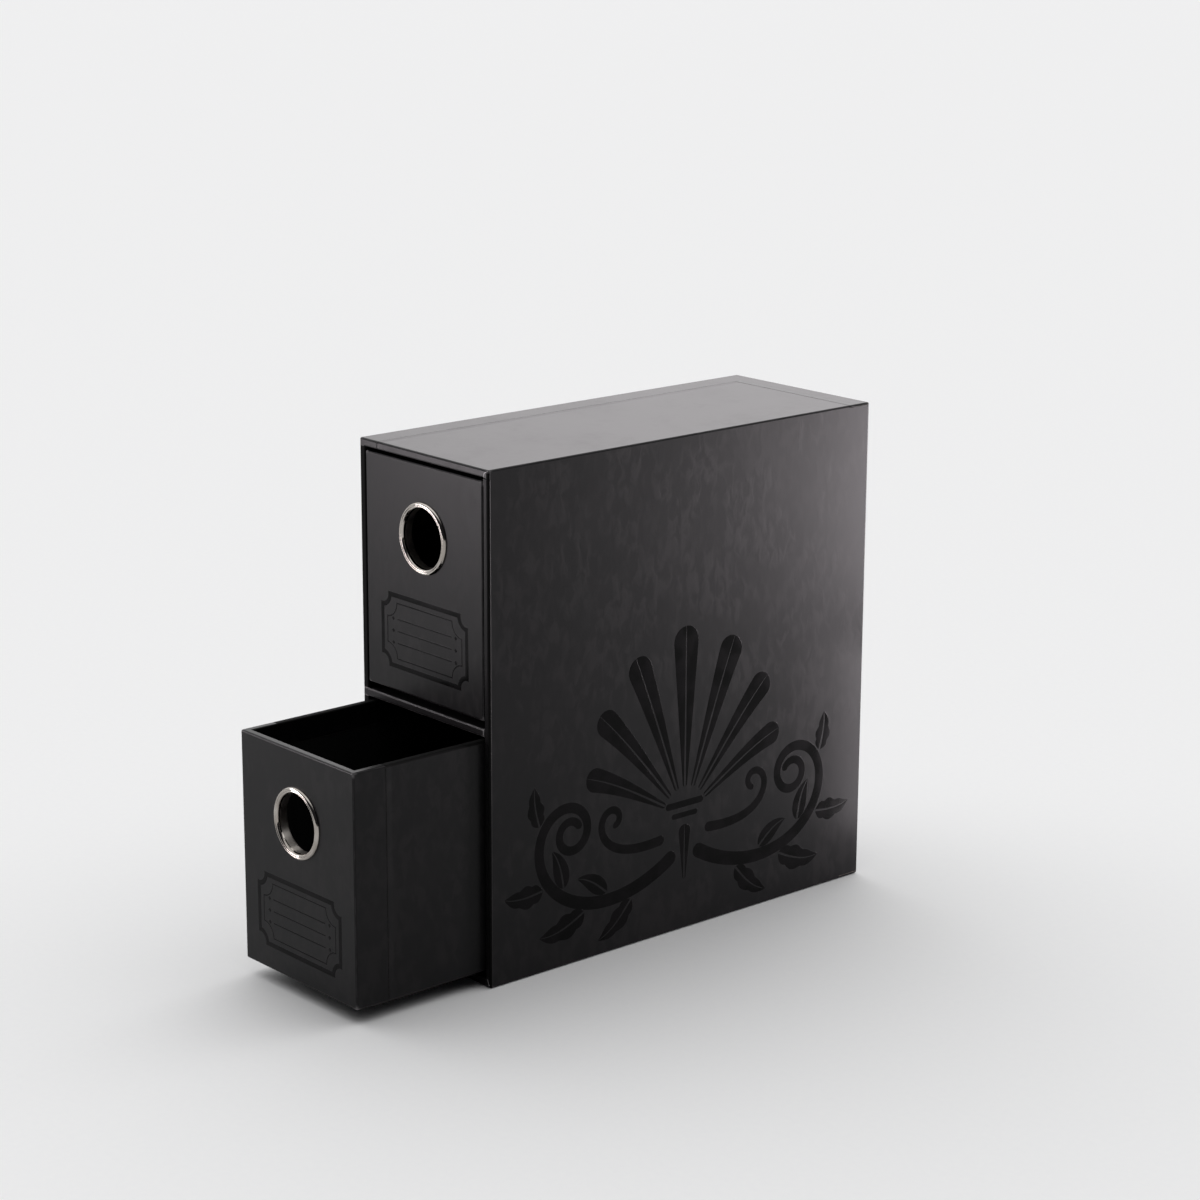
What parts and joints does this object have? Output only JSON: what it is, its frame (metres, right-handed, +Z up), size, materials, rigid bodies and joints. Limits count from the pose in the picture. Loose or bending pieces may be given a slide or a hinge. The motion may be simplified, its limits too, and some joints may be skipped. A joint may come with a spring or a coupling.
{
  "type": "card storage box",
  "caption": "Tall, narrow storage box for playing cards: a paper-wrapped board case, open at the front, with stacked drawers pulled by round metal finger rings.",
  "frame": {"origin": "the centre of the case's footprint, on the underside of its base sheet", "axes": "-Y out of the open front, the way the drawers pull; +X towards the printed side; +Z up"},
  "size_m": [0.0848, 0.2837, 0.22],
  "materials": {
    "greyboard": "raw grey bookbinding board",
    "wrap_paper": "matt black laminated wrapping paper",
    "printed_wrap_paper": "matt black laminated wrapping paper with spot gloss ornament",
    "lining_paper": "uncoated black lining paper",
    "base_paper": "uncoated black base paper",
    "ring_metal": "polished nickel plate on pressed steel"
  },
  "bodies": {
    "case": {"case_top_board": "greyboard", "case_bottom_board": "greyboard", "case_left_board": "greyboard", "case_right_board": "greyboard", "case_back_board": "greyboard", "shelf_board": "greyboard", "upper_slot_lining": "lining_paper", "lower_slot_lining": "lining_paper", "shelf_edge_wrap": "wrap_paper", "case_printed_wrap": "printed_wrap_paper", "case_plain_wrap": "wrap_paper", "bottom_edge_wrap": "wrap_paper", "case_base_sheet": "base_paper"},
    "upper_drawer": {"upper_drawer_floor_board": "greyboard", "upper_drawer_front_board": "greyboard", "upper_drawer_back_board": "greyboard", "upper_drawer_left_board": "greyboard", "upper_drawer_right_board": "greyboard", "upper_drawer_base_pad": "greyboard", "upper_drawer_lining": "lining_paper", "upper_drawer_front_wrap": "printed_wrap_paper", "upper_drawer_body_wrap": "wrap_paper", "upper_drawer_base_pad_wrap": "wrap_paper", "upper_drawer_finger_ring": "ring_metal", "upper_drawer_ring_washer": "ring_metal"},
    "lower_drawer": {"lower_drawer_floor_board": "greyboard", "lower_drawer_front_board": "greyboard", "lower_drawer_back_board": "greyboard", "lower_drawer_left_board": "greyboard", "lower_drawer_right_board": "greyboard", "lower_drawer_base_pad": "greyboard", "lower_drawer_lining": "lining_paper", "lower_drawer_front_wrap": "printed_wrap_paper", "lower_drawer_body_wrap": "wrap_paper", "lower_drawer_base_pad_wrap": "wrap_paper", "lower_drawer_finger_ring": "ring_metal", "lower_drawer_ring_washer": "ring_metal"}
  },
  "joints": [
    {"name": "upper_drawer_slide", "type": "slide", "parent": "case", "child": "upper_drawer", "axis": [0, -1, 0], "range_m": [0, 0.18]},
    {"name": "lower_drawer_slide", "type": "slide", "parent": "case", "child": "lower_drawer", "axis": [0, -1, 0], "range_m": [-0.066, 0.114]}
  ]
}
